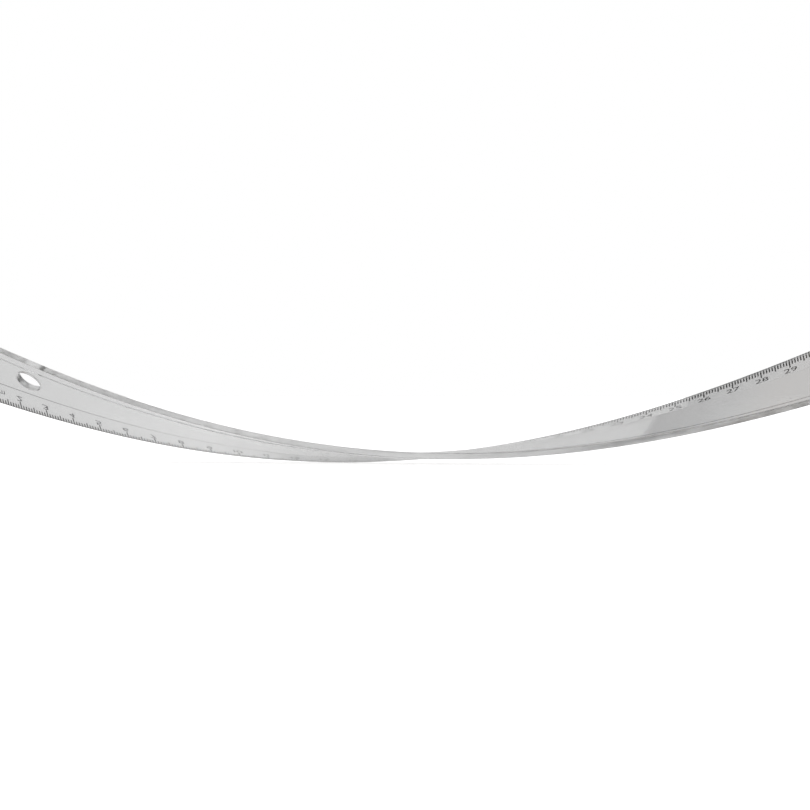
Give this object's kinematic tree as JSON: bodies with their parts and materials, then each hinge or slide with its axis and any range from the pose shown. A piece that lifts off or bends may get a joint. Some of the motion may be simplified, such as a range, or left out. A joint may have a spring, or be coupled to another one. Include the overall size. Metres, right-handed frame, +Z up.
{
  "type": "ruler",
  "caption": "Clear plastic ruler with one bevelled scale edge and a hanging hole, shown flexed: bent along its length and twisted about it.",
  "frame": {"origin": "bottom centre of the bounding box, on the surface that the ruler lies on", "axes": "+X along the ruler from the zero end to the 30 end, +Y from the plain edge towards the scale edge at the middle, +Z up, out of the bevelled face at the middle"},
  "size_m": [0.2986, 0.0866, 0.0464],
  "materials": {
    "clear_plastic": "polished, clear with a faint grey tint"
  },
  "bodies": {
    "root": {"ruler": "clear_plastic"}
  },
  "joints": []
}
